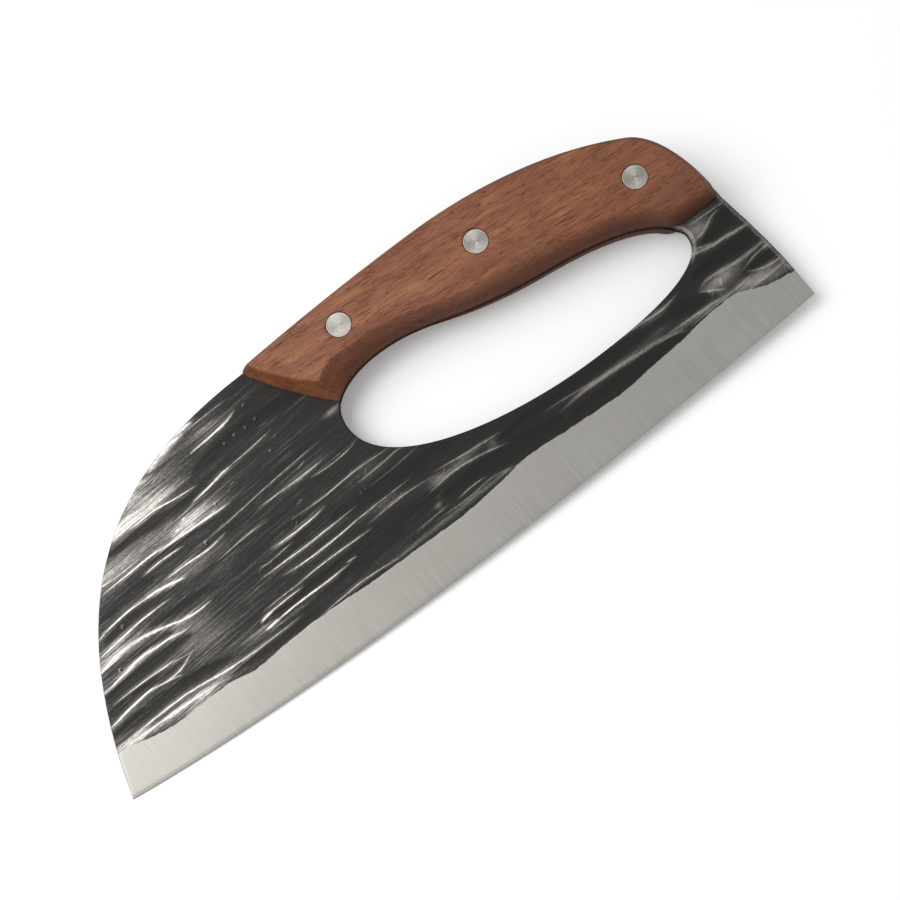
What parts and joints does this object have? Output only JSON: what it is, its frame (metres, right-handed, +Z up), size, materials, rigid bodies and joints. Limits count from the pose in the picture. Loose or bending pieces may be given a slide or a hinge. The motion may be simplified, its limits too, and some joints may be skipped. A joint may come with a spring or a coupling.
{
  "type": "chefs knife",
  "caption": "Wide forged chef's knife with a finger hole under the handle, full tang and riveted wooden scales.",
  "frame": {"origin": "on the table under the middle of the knife's bounding box, as it lies on its back face", "axes": "+X from the nose corner towards the heel, +Y towards the spine and handle, +Z up through the front face"},
  "size_m": [0.254, 0.0944, 0.0224],
  "materials": {
    "forged_steel": "black forge scale with brushed streaks, satin ground bevel along the edge",
    "wood": "sanded and oiled, reddish brown with short dark pores",
    "rivet_steel": "lathe-turned faces, sanded flush"
  },
  "bodies": {
    "root": {"blade": "forged_steel", "scale_front": "wood", "scale_back": "wood", "rivet_front_male": "rivet_steel", "rivet_front_female": "rivet_steel", "rivet_middle_male": "rivet_steel", "rivet_middle_female": "rivet_steel", "rivet_rear_male": "rivet_steel", "rivet_rear_female": "rivet_steel"}
  },
  "joints": []
}
